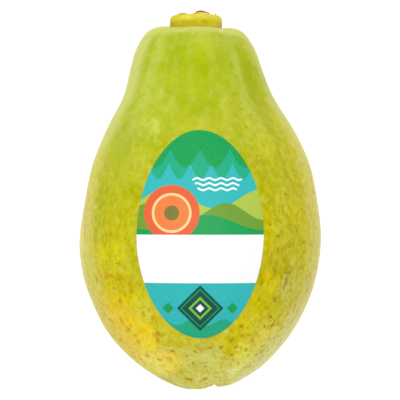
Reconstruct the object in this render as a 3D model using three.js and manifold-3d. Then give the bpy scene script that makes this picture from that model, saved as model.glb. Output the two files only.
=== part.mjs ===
// A whole papaya lying on its side, with the stub of its stalk and an oval sticker.
//
// Millimetres, +Z up. +Y runs from the blossom end to the stem. The origin is on the surface
// that the fruit lies on, under the middle of its outline.
//
// Each piece is shaped in the fruit's own frame: y is the station along the fruit's axis, counted
// from the widest place towards the stem, z points up and x points right. The angle round the axis
// starts at the top and grows towards the right. One group then tips and lifts all the pieces.

import * as THREE from 'three';
import { mergeVertices } from 'three/addons/utils/BufferGeometryUtils.js';
import Module from 'manifold-3d';

const { degToRad, smoothstep } = THREE.MathUtils;

// ---- Driving dimensions -----------------------------------------------------------------------

const BELLY_RADIUS = 45.0;
const NECK_RADIUS = 25.2;
const SHOULDER_STATION = 80.25; // crest of the shoulder round the stalk
const SHOULDER_SKEW = 0.24; // how far the shoulder falls back on top, over its height
const SHOULDER_TILT = 0.017; // how far it falls towards the right, over its width
const CAVITY_STATION = 75.8; // floor of the hollow that the stalk stands in
const CAVITY_RADIUS = 7.8;
const BLOSSOM_STATION = -54.88; // crest round the blossom scar
const SCAR_STATION = -52.2; // bottom of the blossom scar

const REST_TILT = degToRad(8); // the neck lies lower than the belly
const FLAT_DEPTH = 1.3; // what the resting spot takes off the round belly
const FLAT_BLEND = 0.25; // how softly the resting spot runs into the skin

const LOBES = 5;
const VALLEY_AT_STEM = degToRad(-25);
const VALLEY_TWIST = degToRad(32); // how far the valleys turn on their way to the blossom end
const VALLEY_SHARPNESS = 2.4; // the higher, the narrower the valleys
const NECK_VALLEY = 1.1; // depth of the valleys between the lobes
const BELLY_VALLEY = 0.35;
const BLOSSOM_VALLEY = 1.8;
const SIDE_SOFTENING = 0.75; // what the valleys at the sides lose of their depth there

const NECK_SHIFT = -2.4; // the neck leans left of the belly
const STALK_SHIFT = -1.8; // and the stalk stands a little right of the neck's middle
const BLOSSOM_SHIFT = 0.4; // the blossom end leans right of it
const SCAR_SHIFT = 4.0; // and the blossom scar lies right of the blossom end's middle
const SCAR_REACH = 18; // the radius that the scar's shift reaches to
const BLOSSOM_REACH = 24; // the radius of the blossom end's cap
const BLOSSOM_SKEW = 0.12; // how far the cap is cut back underneath, over its height
const LOBE_STEP = 1.9; // the lobe right of the scar ends this much short of the left one

const STALK_RADIUS = 9.9;
const STALK_TOP = 84.9;
const STALK_CUP = 1.2; // depth of the stalk's broken face below its rim
const FACE_LEAN = Math.tan(REST_TILT); // the broken face stands upright while the fruit lies
const STALK_GAP = 0.3; // between the stalk and the fruit

const CRUST_RADIUS = 7.2;
const CRUST_SHIFT = 0.4; // it lies a little right of the stalk's middle
const CRUST_GAP = 0.3; // between the dried crust and the stalk
const CRUST_RIM = 1.08; // height of the crust's rim over its foot
const CRUST_FLOOR = 0.82; // height of the crust inside its rim
const CRUST_LIP = 1.75; // what the torn lip adds to that
const SPLINTER_RADIUS = 0.75;
const SPLINTER_HEIGHT = 1.2;
const SPLINTER_LEAN = 0.18;

const LABEL_WIDTH = 44.7;
const LABEL_HEIGHT = 72.7;
const LABEL_STATION = -1.7; // the sticker's centre
const LABEL_THICKNESS = 0.3;
const LABEL_GAP = 0.25; // between the sticker and the skin

// The slow waves of a grown skin. Each has a height, a number of waves round the fruit, and the
// turn and the swing that it makes along one belly radius.
const SKIN_WAVES = [
  { height: 0.45, around: 2, phase: 1.1, turn: 1.4, swing: 1.9, start: 0.4 },
  { height: 0.28, around: 3, phase: -0.6, turn: -2.3, swing: 0, start: 0 },
  { height: 0.16, around: 7, phase: 0, turn: 3.1, swing: 5.2, start: 1.0 },
];

// The swellings round the stalk, and the notches round the crust's rim.
const STALK_SWELLS = [
  { height: 0.3, around: 2, phase: -0.7 },
  { height: 0.22, around: LOBES, phase: 0.8 },
  { height: 0.12, around: 9, phase: 0 },
];
const CRUST_NOTCHES = [
  { height: 0.05, around: 5, phase: 2 },
  { height: 0.09, around: 11, phase: 0 },
  { height: 0.08, around: 17, phase: 1 },
];

// ---- Fineness ---------------------------------------------------------------------------------

const FRUIT_SIDES = 66;
const FRUIT_ROWS = 60;
const STALK_SIDES = 40;
const STALK_ROWS = 27;
const CRUST_SIDES = 40;
const SPLINTER_SIDES = 6;
const LABEL_SIDES = 56;
const LABEL_RINGS = 7;
const SAME_CORNER = 1e-3; // corners closer than this are one

// ---- Helpers ----------------------------------------------------------------------------------

const at = (radius, station) => new THREE.Vector2(radius, station);

// A geometry whose faces share their corners, so that moving a corner keeps it closed.
function shareCorners(geometry) {
  geometry.deleteAttribute('uv');
  geometry.deleteAttribute('normal');
  const shared = mergeVertices(geometry, SAME_CORNER);
  shared.computeVertexNormals();
  return shared;
}

// A solid of revolution. The profile runs from one end of the axis to the other with the solid on
// its left.
const lathe = (profile, sides) => shareCorners(new THREE.LatheGeometry(profile, sides));

// Moves every corner of a geometry: move(point, outward, angle, radius) changes point in place.
function reshape(geometry, move) {
  const { position, normal } = geometry.attributes;
  const point = new THREE.Vector3();
  const outward = new THREE.Vector3();
  for (let i = 0; i < position.count; i++) {
    point.fromBufferAttribute(position, i);
    outward.fromBufferAttribute(normal, i);
    move(point, outward, Math.atan2(point.x, point.z), Math.hypot(point.x, point.z));
    position.setXYZ(i, point.x, point.y, point.z);
  }
  geometry.computeVertexNormals();
  return geometry;
}

// A soft bump: 1 where value is middle, falling to nothing over a few widths.
const bump = (value, middle, width) => Math.exp(-(((value - middle) / width) ** 2));

// The height of some waves round the axis at an angle.
const ripple = (waves, angle) => waves.reduce(
  (sum, { height, around, phase }) => sum + height * Math.sin(around * angle + phase),
  0,
);

function piece(name, geometry, color, roughness) {
  const mesh = new THREE.Mesh(geometry, new THREE.MeshStandardMaterial({ color, roughness, metalness: 0 }));
  mesh.name = name;
  return mesh;
}

// ---- Fruit ------------------------------------------------------------------------------------

// Half the fruit's outline, from the blossom scar to the hollow that the stalk stands in.
const FRUIT_OUTLINE = new THREE.SplineCurve([
  at(0, SCAR_STATION),
  at(2.2, SCAR_STATION - 0.9),
  at(5.9, BLOSSOM_STATION),
  at(11.4, BLOSSOM_STATION + 1.4),
  at(19.6, -48.3),
  at(26.9, -42.1),
  at(34.7, -32.8),
  at(0.92 * BELLY_RADIUS, -19.4),
  at(0.985 * BELLY_RADIUS, -8.2),
  at(BELLY_RADIUS, 2.6),
  at(43.1, 15.1),
  at(40.2, 28.6),
  at(34.5, 41.6),
  at(28.4, 52.2),
  at(NECK_RADIUS, 63.2),
  at(23.2, 70.8),
  at(20.5, 76.2),
  at(17.4, SHOULDER_STATION - 0.7),
  at(12.8, SHOULDER_STATION),
  at(10.1, SHOULDER_STATION - 1.1),
  at(CAVITY_RADIUS, CAVITY_STATION + 0.2),
  at(0, CAVITY_STATION),
]);

// How deep the valleys between the lobes are.
function valleyDepth(angle, station) {
  const neck = smoothstep(station, 15, 60);
  const blossom = 1 - smoothstep(station, -50, -28);
  const side = 1 - SIDE_SOFTENING * blossom * Math.sin(angle) ** 2;
  return side * (BELLY_VALLEY + neck * (NECK_VALLEY - BELLY_VALLEY) + blossom * (BLOSSOM_VALLEY - BELLY_VALLEY));
}

// 1 along the valleys, 0 along the crests of the lobes.
function valley(angle, station) {
  const towardsScar = 1 - smoothstep(station, SCAR_STATION, CAVITY_STATION);
  const fromValley = angle - VALLEY_AT_STEM - VALLEY_TWIST * towardsScar;
  return (0.5 + 0.5 * Math.cos(LOBES * fromValley)) ** VALLEY_SHARPNESS;
}

function unevenness(angle, station) {
  const along = station / BELLY_RADIUS;
  return SKIN_WAVES.reduce((sum, { height, around, phase, turn, swing, start }) => (
    sum + height * Math.sin(around * angle + phase + turn * along) * Math.cos(swing * along + start)
  ), 0);
}

function growSkin(point, outward, angle, radius) {
  const station = point.y;
  const stemEnd = station > 0;
  const clearOfPole = stemEnd ? smoothstep(radius, 9, 17) : smoothstep(radius, 0.8, 6);
  const depth = valleyDepth(angle, station) * valley(angle, station) * clearOfPole;
  const uneven = unevenness(angle, station) * smoothstep(radius, 8, 26);
  point.addScaledVector(outward, uneven - depth);

  point.x += NECK_SHIFT * smoothstep(station, 18, 74);
  if (stemEnd) {
    const shoulder = smoothstep(station, 56, 77) * smoothstep(radius, 8.5, 13);
    point.y -= (SHOULDER_SKEW * point.z + SHOULDER_TILT * point.x) * shoulder;
    return;
  }
  point.x += BLOSSOM_SHIFT * (1 - smoothstep(station, -50, -36));
  point.x += SCAR_SHIFT * (1 - smoothstep(radius, 0, SCAR_REACH));
  const cap = 1 - smoothstep(radius, 0, BLOSSOM_REACH);
  point.y += cap * (LOBE_STEP * smoothstep(point.x, -5, 14) - BLOSSOM_SKEW * point.z);
}

// Presses the skin flat where the fruit lies, and returns how far the group stands above the
// surface. Corners up to FLAT_BLEND over it are drawn down, and those below it are raised to it.
function pressFlat(geometry) {
  const up = new THREE.Vector3(0, -Math.sin(REST_TILT), Math.cos(REST_TILT));
  const { position } = geometry.attributes;
  const corner = new THREE.Vector3();
  let lowest = Infinity;
  for (let i = 0; i < position.count; i++) {
    lowest = Math.min(lowest, corner.fromBufferAttribute(position, i).dot(up));
  }
  const lift = -lowest - FLAT_DEPTH;
  for (let i = 0; i < position.count; i++) {
    const height = corner.fromBufferAttribute(position, i).dot(up) + lift;
    if (height >= FLAT_BLEND) continue;
    const pressed = Math.max(height + FLAT_BLEND, 0) ** 2 / (4 * FLAT_BLEND);
    corner.addScaledVector(up, pressed - height);
    position.setXYZ(i, corner.x, corner.y, corner.z);
  }
  geometry.computeVertexNormals();
  return lift;
}

const fruitGeometry = reshape(lathe(FRUIT_OUTLINE.getPoints(FRUIT_ROWS), FRUIT_SIDES), growSkin);
const lift = pressFlat(fruitGeometry);
const fruit = piece('fruit', fruitGeometry, 0xbfc23a, 0.45);

// ---- Stub of the stalk ------------------------------------------------------------------------

// It stands on the floor of the hollow, swells above the shoulder and is cupped on top.
const STALK_FOOT = CAVITY_STATION + STALK_GAP;
const STALK_OUTLINE = new THREE.SplineCurve([
  at(0, STALK_FOOT),
  at(CAVITY_RADIUS - 1.6, STALK_FOOT + 0.25),
  at(CAVITY_RADIUS + 0.4, STALK_FOOT + 1.6),
  at(0.94 * STALK_RADIUS, STALK_FOOT + 3.5),
  at(STALK_RADIUS, STALK_FOOT + 5.8),
  at(0.99 * STALK_RADIUS, STALK_TOP - 1.9),
  at(0.95 * STALK_RADIUS, STALK_TOP - 1.1),
  at(0.86 * STALK_RADIUS, STALK_TOP - 0.4),
  at(0.79 * STALK_RADIUS, STALK_TOP - 0.1),
  at(CRUST_RADIUS, STALK_TOP - 0.1),
  at(CRUST_RADIUS - 1.2, STALK_TOP - 0.75 * STALK_CUP),
  at(0, STALK_TOP - STALK_CUP),
]);

function swellStalk(point, outward, angle, radius) {
  const aboveShoulder = smoothstep(point.y, SHOULDER_STATION - 1, SHOULDER_STATION + 1);
  const side = smoothstep(radius, CRUST_RADIUS, STALK_RADIUS);
  const brokenFace = smoothstep(point.y, STALK_TOP - 3, STALK_TOP - 1.5) * (1 - side);
  point.addScaledVector(outward, ripple(STALK_SWELLS, angle) * side * aboveShoulder);
  point.x += STALK_SHIFT + CRUST_SHIFT * brokenFace;
  point.y -= FACE_LEAN * point.z * smoothstep(point.y, STALK_TOP - 6, STALK_TOP - 1.5);
}

const stalk = piece(
  'stalk_stub',
  reshape(lathe(STALK_OUTLINE.getPoints(STALK_ROWS), STALK_SIDES), swellStalk),
  0xd6cb3f,
  0.5,
);

// ---- Dried crust where the stalk broke off ----------------------------------------------------

const CRUST_FOOT = STALK_TOP - STALK_CUP + CRUST_GAP;
const CRUST_OUTLINE = [
  at(0, CRUST_FOOT),
  at(0.45 * CRUST_RADIUS, CRUST_FOOT + 0.06),
  at(CRUST_RADIUS - 1.3, CRUST_FOOT + 0.3),
  at(CRUST_RADIUS - 0.5, CRUST_FOOT + 0.75),
  at(CRUST_RADIUS - 0.2, CRUST_FOOT + 0.98),
  at(0.86 * CRUST_RADIUS, CRUST_FOOT + CRUST_RIM),
  at(0.7 * CRUST_RADIUS, CRUST_FOOT + 1.02),
  at(0.5 * CRUST_RADIUS, CRUST_FOOT + 0.95),
  at(0.3 * CRUST_RADIUS, CRUST_FOOT + CRUST_FLOOR + 0.05),
  at(0.14 * CRUST_RADIUS, CRUST_FOOT + CRUST_FLOOR),
  at(0, CRUST_FOOT + CRUST_FLOOR),
];

// A torn lip stands up near the middle, curved round it, and the rim is notched all round.
function tearCrust(point, outward, angle, radius) {
  const top = smoothstep(point.y, CRUST_FOOT + 0.6, CRUST_FOOT + 0.8);
  const rim = bump(radius, 0.82 * CRUST_RADIUS, 1.6);
  const lipLine = 1.6 + 0.06 * point.x ** 2;
  const lip = CRUST_LIP * bump(point.x, 2, 2.3) * bump(point.z, lipLine, 0.9);
  point.y += top * (rim * ripple(CRUST_NOTCHES, angle) + lip) - FACE_LEAN * point.z;
  point.x += STALK_SHIFT + CRUST_SHIFT;
}

// The splinter left standing at the crust's right edge.
function splinter() {
  const cone = new THREE.ConeGeometry(SPLINTER_RADIUS, SPLINTER_HEIGHT, SPLINTER_SIDES);
  cone.rotateZ(-SPLINTER_LEAN);
  const foot = CRUST_FOOT + CRUST_FLOOR;
  const right = STALK_SHIFT + CRUST_SHIFT + CRUST_RADIUS - 0.5;
  cone.translate(right, foot + SPLINTER_HEIGHT / 2, SPLINTER_RADIUS);
  return shareCorners(cone);
}

const wasm = await Module();
wasm.setup();

const toManifold = (geometry) => new wasm.Manifold(new wasm.Mesh({
  numProp: 3,
  vertProperties: new Float32Array(geometry.attributes.position.array),
  triVerts: new Uint32Array(geometry.index.array),
}));

function toGeometry(solid) {
  const mesh = solid.getMesh();
  const geometry = new THREE.BufferGeometry();
  geometry.setAttribute('position', new THREE.BufferAttribute(mesh.vertProperties, 3));
  geometry.setIndex(new THREE.BufferAttribute(mesh.triVerts, 1));
  geometry.computeVertexNormals();
  return geometry;
}

const crustBody = toManifold(reshape(lathe(CRUST_OUTLINE, CRUST_SIDES), tearCrust));
const crust = piece('dried_crust', toGeometry(crustBody.add(toManifold(splinter()))), 0x9a6a34, 0.85);

// ---- Sticker ----------------------------------------------------------------------------------

// A flat disc of unit radius with rings of corners on both faces, its thickness along y.
function labelBlank() {
  const rings = Array.from({ length: LABEL_RINGS + 1 }, (_, i) => i / LABEL_RINGS);
  const under = rings.map((radius) => at(radius, 0));
  const over = rings.toReversed().map((radius) => at(radius, LABEL_THICKNESS));
  return lathe([...under, ...over], LABEL_SIDES);
}

// Lays the blank on the skin: each corner drops straight down onto the fruit, and is then raised
// along the skin's normal.
function drape(blank) {
  const down = new THREE.Vector3(0, 0, -1);
  const above = 2 * BELLY_RADIUS;
  const start = new THREE.Vector3();
  return reshape(blank, (point) => {
    const raised = LABEL_GAP + point.y;
    start.set(point.x * LABEL_WIDTH / 2, LABEL_STATION - point.z * LABEL_HEIGHT / 2, above);
    const [hit] = new THREE.Raycaster(start, down).intersectObject(fruit);
    point.copy(hit.point).addScaledVector(hit.normal, raised);
  });
}

const label = piece('label', drape(labelBlank()), 0x2fbec0, 0.55);

// ---- Assembly ---------------------------------------------------------------------------------

const papaya = new THREE.Group();
papaya.add(fruit, stalk, crust, label);
papaya.rotation.x = -REST_TILT;
papaya.position.z = lift;

const middle = new THREE.Box3().setFromObject(papaya, true).getCenter(new THREE.Vector3());
papaya.position.x -= middle.x;
papaya.position.y -= middle.y;

export default papaya;
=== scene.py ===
"""A whole papaya lying on a pale floor, seen from straight above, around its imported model."""

import math
from contextlib import contextmanager

import bpy
from mathutils import Matrix, Vector
from mathutils.bvhtree import BVHTree


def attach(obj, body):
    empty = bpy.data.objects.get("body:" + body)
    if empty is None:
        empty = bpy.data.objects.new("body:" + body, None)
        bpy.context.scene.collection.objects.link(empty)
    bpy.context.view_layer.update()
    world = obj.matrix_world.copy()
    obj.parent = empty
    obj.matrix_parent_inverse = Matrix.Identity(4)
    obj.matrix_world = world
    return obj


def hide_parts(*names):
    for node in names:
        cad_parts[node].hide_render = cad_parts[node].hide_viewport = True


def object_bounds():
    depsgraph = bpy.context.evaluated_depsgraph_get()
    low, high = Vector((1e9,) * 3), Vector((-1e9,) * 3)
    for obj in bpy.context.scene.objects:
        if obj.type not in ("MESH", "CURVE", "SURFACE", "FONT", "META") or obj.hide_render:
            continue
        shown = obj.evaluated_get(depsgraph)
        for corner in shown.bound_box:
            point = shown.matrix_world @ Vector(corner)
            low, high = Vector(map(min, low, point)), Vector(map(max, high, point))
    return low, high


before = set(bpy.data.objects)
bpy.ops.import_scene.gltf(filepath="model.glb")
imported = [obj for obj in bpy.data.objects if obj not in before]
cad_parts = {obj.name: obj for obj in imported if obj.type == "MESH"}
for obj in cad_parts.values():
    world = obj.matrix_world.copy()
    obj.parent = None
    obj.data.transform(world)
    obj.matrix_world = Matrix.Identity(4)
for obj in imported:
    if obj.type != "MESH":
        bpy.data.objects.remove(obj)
cad_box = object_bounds()

MM = 0.001

# ---- The fruit's own frame ----------------------------------------------------------------------
# Its y runs along the axis to the stalk, its z is up and its x right, all from the widest place.

NECK_DROP = math.radians(8)  # the axis slopes down towards the stalk
WAIST = Vector((0.267, -15.621, 44.355)) * MM
FRUIT_FRAME = Matrix.Translation(WAIST) @ Matrix.Rotation(-NECK_DROP, 4, "X")
TO_FRUIT = FRUIT_FRAME.inverted()

# Stations along the axis, shifts to the right of it and radii, in millimetres.
STALK_SHIFT = -1.8
STALK_FOOT = 76.1
STALK_FOOT_RADIUS = 8.2
STALK_TOP = 84.9
CRUST_SHIFT = 0.4
CRUST_FOOT = 83.95
CRUST_RADIUS = 7.2
SCAR_SHIFT = 4.1
SCAR = -52.2

# In the stalk's frame z runs up the stalk from the same station 0, and y points down.
STALK_TURN = Matrix.Rotation(math.radians(-90), 4, "X")
STALK_FRAME = FRUIT_FRAME @ (Matrix.Translation((STALK_SHIFT * MM, 0, 0)) @ STALK_TURN)

# The stalk's broken face stands upright.
FACE_TURN = Matrix.Translation((0, 0, STALK_TOP * MM)) @ Matrix.Rotation(NECK_DROP, 4, "X")
FACE_FRAME = STALK_FRAME @ FACE_TURN @ Matrix.Translation((0, 0, -STALK_TOP * MM))

# The label's middle from above and half its size, in millimetres.
LABEL_CENTRE = Vector((0.05, -12.77))
LABEL_HALF = Vector((22.4, 36.93))


# ---- Handling -----------------------------------------------------------------------------------

MERGE_GAP = 0.001  # vertices closer than this are one
RELIEF_STRETCH = 2.2  # how much longer lumps of relief are along a grain than across it


def pick(*pieces):
    """Makes pieces the only selected objects, and the first one active."""
    bpy.ops.object.select_all(action="DESELECT")
    for piece in pieces:
        piece.select_set(True)
    bpy.context.view_layer.objects.active = pieces[0]


@contextmanager
def editing(piece, mode="VERT"):
    """Opens piece for editing with everything selected, and closes it afterwards."""
    pick(piece)
    bpy.ops.object.mode_set(mode="EDIT")
    bpy.ops.mesh.select_mode(type=mode)
    bpy.ops.mesh.select_all(action="SELECT")
    yield
    bpy.ops.object.mode_set(mode="OBJECT")


def finish_with(piece, kind, **settings):
    """Adds a modifier to piece and applies it."""
    pick(piece)
    modifier = piece.modifiers.new(kind.title(), kind)
    for name, value in settings.items():
        setattr(modifier, name, value)
    bpy.ops.object.modifier_apply(modifier=modifier.name)


def begin(name):
    """Names the primitive just added and leaves its object at the origin."""
    piece = bpy.context.object
    piece.name = name
    bpy.ops.object.transform_apply(location=True, rotation=True, scale=True)
    return piece


def settle(piece, placement):
    """Moves piece from its own frame to its place, and leaves its object at the origin."""
    piece.matrix_world = placement
    pick(piece)
    bpy.ops.object.transform_apply(location=True, rotation=True, scale=True)


def join(*pieces):
    """Joins pieces into the first one."""
    pick(*pieces)
    bpy.ops.object.join()
    return pieces[0]


def shade_smooth(piece):
    pick(piece)
    bpy.ops.object.shade_smooth()


def copy_node(node, name):
    """A new piece with a node's mesh, its loose triangles joined into quads."""
    piece = bpy.data.objects.new(name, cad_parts[node].data.copy())
    bpy.context.scene.collection.objects.link(piece)
    piece.data.materials.clear()
    with editing(piece):
        bpy.ops.mesh.customdata_custom_splitnormals_clear()
        bpy.ops.mesh.remove_doubles(threshold=MERGE_GAP * MM)
        bpy.ops.mesh.tris_convert_to_quads()
    return piece


def smoothstep(value, low, high):
    t = min(max((value - low) / (high - low), 0), 1)
    return t * t * (3 - 2 * t)


def roughen(piece, size, height, along=None, weight=None):
    """Pushes a soft cloudy relief into piece, its lumps of about size and height, in millimetres.

    Along is a placement whose y the lumps are stretched along, and weight gives how much of the
    relief a point takes.
    """
    clouds = bpy.data.textures.new("clouds", "CLOUDS")
    clouds.noise_scale = 1.0
    clouds.noise_depth = 2
    grid = bpy.data.objects.new("grid", None)
    bpy.context.scene.collection.objects.link(grid)
    stretch = RELIEF_STRETCH if along else 1
    lumps = Matrix.Diagonal((size * MM, size * MM * stretch, size * MM, 1))
    grid.matrix_world = (along or Matrix.Identity(4)) @ lumps
    bpy.context.view_layer.update()
    settings = dict(texture=clouds, texture_coords="OBJECT", texture_coords_object=grid,
                    strength=2 * height * MM, mid_level=0.5)
    if weight:
        group = piece.vertex_groups.new(name="relief")
        for vertex in piece.data.vertices:
            group.add([vertex.index], weight(vertex.co), "REPLACE")
        settings["vertex_group"] = group.name
    finish_with(piece, "DISPLACE", **settings)
    piece.vertex_groups.clear()
    bpy.data.objects.remove(grid)


# ---- Materials ----------------------------------------------------------------------------------


def srgb(red, green, blue):
    """A colour given as a screen shows it, 0 to 255, in linear light."""
    return tuple(
        c / 12.92 if c <= 0.04045 else ((c + 0.055) / 1.055) ** 2.4
        for c in (red / 255, green / 255, blue / 255)
    ) + (1,)


class Finish:
    """A material and short ways to add nodes to it. Lengths in it are millimetres.

    Its colour is built up in coats, from the ground outwards.
    """

    def __init__(self, name, placement=Matrix.Identity(4)):
        self.material = bpy.data.materials.new(name)
        self.material.use_nodes = True
        self.tree = self.material.node_tree
        self.shader = self.tree.nodes["Principled BSDF"]
        coordinates = self.node("ShaderNodeTexCoord").outputs["Object"]
        mapping = self.node("ShaderNodeMapping", {0: coordinates}, vector_type="TEXTURE")
        mapping.inputs["Location"].default_value = placement.to_translation()
        mapping.inputs["Rotation"].default_value = placement.to_euler()
        mapping.inputs["Scale"].default_value = (MM, MM, MM)
        self.point = mapping.outputs[0]
        parts = self.node("ShaderNodeSeparateXYZ", {0: self.point})
        self.x, self.y, self.z = parts.outputs
        self.colour = None

    def node(self, kind, inputs=None, **settings):
        node = self.tree.nodes.new(kind)
        for name, value in settings.items():
            setattr(node, name, value)
        for key, value in (inputs or {}).items():
            if isinstance(value, bpy.types.NodeSocket):
                self.tree.links.new(value, node.inputs[key])
            else:
                node.inputs[key].default_value = value
        return node

    def calc(self, operation, *values, clamp=False):
        inputs = dict(enumerate(values))
        node = self.node("ShaderNodeMath", inputs, operation=operation, use_clamp=clamp)
        return node.outputs[0]

    def times(self, first, second):
        return self.calc("MULTIPLY", first, second)

    def plus(self, first, second, clamp=False):
        return self.calc("ADD", first, second, clamp=clamp)

    def rest(self, share):
        """What share leaves of 1."""
        return self.calc("SUBTRACT", 1, share)

    def gap(self, value, place):
        """How far value is from place."""
        return self.calc("ABSOLUTE", self.calc("SUBTRACT", value, place))

    def swing(self, noise, reach):
        """A noise from 0 to 1 moved to swing about 0, over that reach."""
        return self.calc("MULTIPLY_ADD", noise, reach, -reach / 2)

    def vector(self, operation, *values, output=0):
        inputs = dict(enumerate(values))
        return self.node("ShaderNodeVectorMath", inputs, operation=operation).outputs[output]

    def stretched(self, along, shift=0, point=None):
        """The point with lengths along the fruit's axis divided by along, and moved by shift."""
        return self.vector("MULTIPLY_ADD", point or self.point, (1, 1 / along, 1), (shift,) * 3)

    def noise(self, size, detail=2.0, rough=0.5, along=1.0, shift=0):
        """A soft noise from 0 to 1, with features of about size."""
        inputs = {"Vector": self.stretched(along, shift), "Scale": 1 / size,
                  "Detail": detail, "Roughness": rough}
        return self.node("ShaderNodeTexNoise", inputs).outputs[0]

    def warped(self, size, reach, shift=0):
        """The point, moved about by up to reach in a noise with features of about size."""
        inputs = {"Vector": self.stretched(1, shift), "Scale": 1 / size, "Detail": 2.0}
        swirl = self.node("ShaderNodeTexNoise", inputs).outputs["Color"]
        parts = self.node("ShaderNodeSeparateColor", {0: swirl}).outputs
        swirl = self.node("ShaderNodeCombineXYZ", dict(enumerate(parts[:3]))).outputs[0]
        swirl = self.vector("MULTIPLY_ADD", swirl, (4 * reach,) * 3, (-2 * reach,) * 3)
        return self.vector("ADD", self.point, swirl)

    def cells(self, size, along=1.0, shift=0, point=None):
        """The distance to the nearest of scattered points, and that point's random numbers."""
        inputs = {"Vector": self.stretched(along, shift, point), "Scale": 1 / size}
        node = self.node("ShaderNodeTexVoronoi", inputs)
        distance = self.times(node.outputs["Distance"], size)
        return distance, self.node("ShaderNodeSeparateColor", {0: node.outputs["Color"]}).outputs

    def specks(self, size, radius, share, along=1.0, shift=0, point=None):
        """Scattered soft spots up to radius, in a share of the cells of that size."""
        distance, random = self.cells(size, along, shift, point)
        reach = self.times(self.ramp(random[0], self.rest(share), 1.0), radius)
        mask = self.ramp(distance, self.plus(reach, 0.15), self.times(reach, 0.35))
        return self.times(mask, self.ramp(reach, 0.02, 0.12)), random

    def ramp(self, value, low, high, start=0.0, end=1.0):
        """Start below low and end above high, with a smooth step between them."""
        inputs = {"Value": value, "From Min": low, "From Max": high, "To Min": start, "To Max": end}
        return self.node("ShaderNodeMapRange", inputs, interpolation_type="SMOOTHSTEP").outputs[0]

    def mix(self, factor, first, second, blend="MIX"):
        inputs = {"Factor": factor, 6: first, 7: second}
        return self.node("ShaderNodeMix", inputs, data_type="RGBA", blend_type=blend).outputs[2]

    def near(self, centre, radii, point=None):
        """1 at a point in the finish's frame, 0 outside an ellipsoid of those radii round it."""
        shrink = [1 / r for r in radii]
        shift = [-c * s for c, s in zip(centre, shrink)]
        scaled = self.vector("MULTIPLY_ADD", point or self.point, shrink, shift)
        return self.ramp(self.vector("LENGTH", scaled, output="Value"), 1, 0)

    def coat(self, cover, tint, blend="MIX"):
        """Lays a tint over the colour so far, as far as cover says."""
        self.colour = self.mix(cover, self.colour, tint, blend)

    def paint(self, roughness, height, relief, **constants):
        """Links the colour, roughness and height, in units of relief, to the finish's shader."""
        self.tree.links.new(self.colour, self.shader.inputs["Base Color"])
        self.tree.links.new(roughness, self.shader.inputs["Roughness"])
        inputs = {"Height": height, "Distance": relief * MM, "Strength": 1.0}
        bump = self.node("ShaderNodeBump", inputs)
        self.tree.links.new(bump.outputs[0], self.shader.inputs["Normal"])
        for name, value in constants.items():
            self.shader.inputs[name.replace("_", " ")].default_value = value
        return self.material


# ---- Skin ---------------------------------------------------------------------------------------


def grow_skin():
    skin = copy_node("fruit", "papaya_skin")
    finish_with(skin, "SUBSURF", levels=2, render_levels=2)

    def clear_of_floor(point):
        """0 where the fruit rests on the floor, 1 well above it."""
        return smoothstep(point.z / MM, 1.5, 9)

    smooth_crest(skin)
    roughen(skin, 9, 0.12, FRUIT_FRAME, clear_of_floor)
    roughen(skin, 3.2, 0.035, FRUIT_FRAME, clear_of_floor)
    shade_smooth(skin)
    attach(skin, "root")
    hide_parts("fruit")
    return skin


def smooth_crest(skin):
    """Softens the shoulder round the stalk, where the valleys between the lobes cross it."""
    crest = skin.vertex_groups.new(name="crest")
    for vertex in skin.data.vertices:
        station = (TO_FRUIT @ vertex.co).y / MM
        crest.add([vertex.index], smoothstep(station, 68, 77), "REPLACE")
    finish_with(skin, "SMOOTH", factor=0.5, iterations=80, vertex_group=crest.name)
    skin.vertex_groups.clear()


skin = grow_skin()
skin_surface = BVHTree.FromObject(skin, bpy.context.evaluated_depsgraph_get())
WELL_ABOVE = 0.2  # a height in metres that nothing reaches


def on_skin(x, y):
    """The place on the upper skin at x and y from above, in the fruit's own frame."""
    hit = skin_surface.ray_cast(Vector((x * MM, y * MM, WELL_ABOVE)), Vector((0, 0, -1)))[0]
    return TO_FRUIT @ hit / MM


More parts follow.
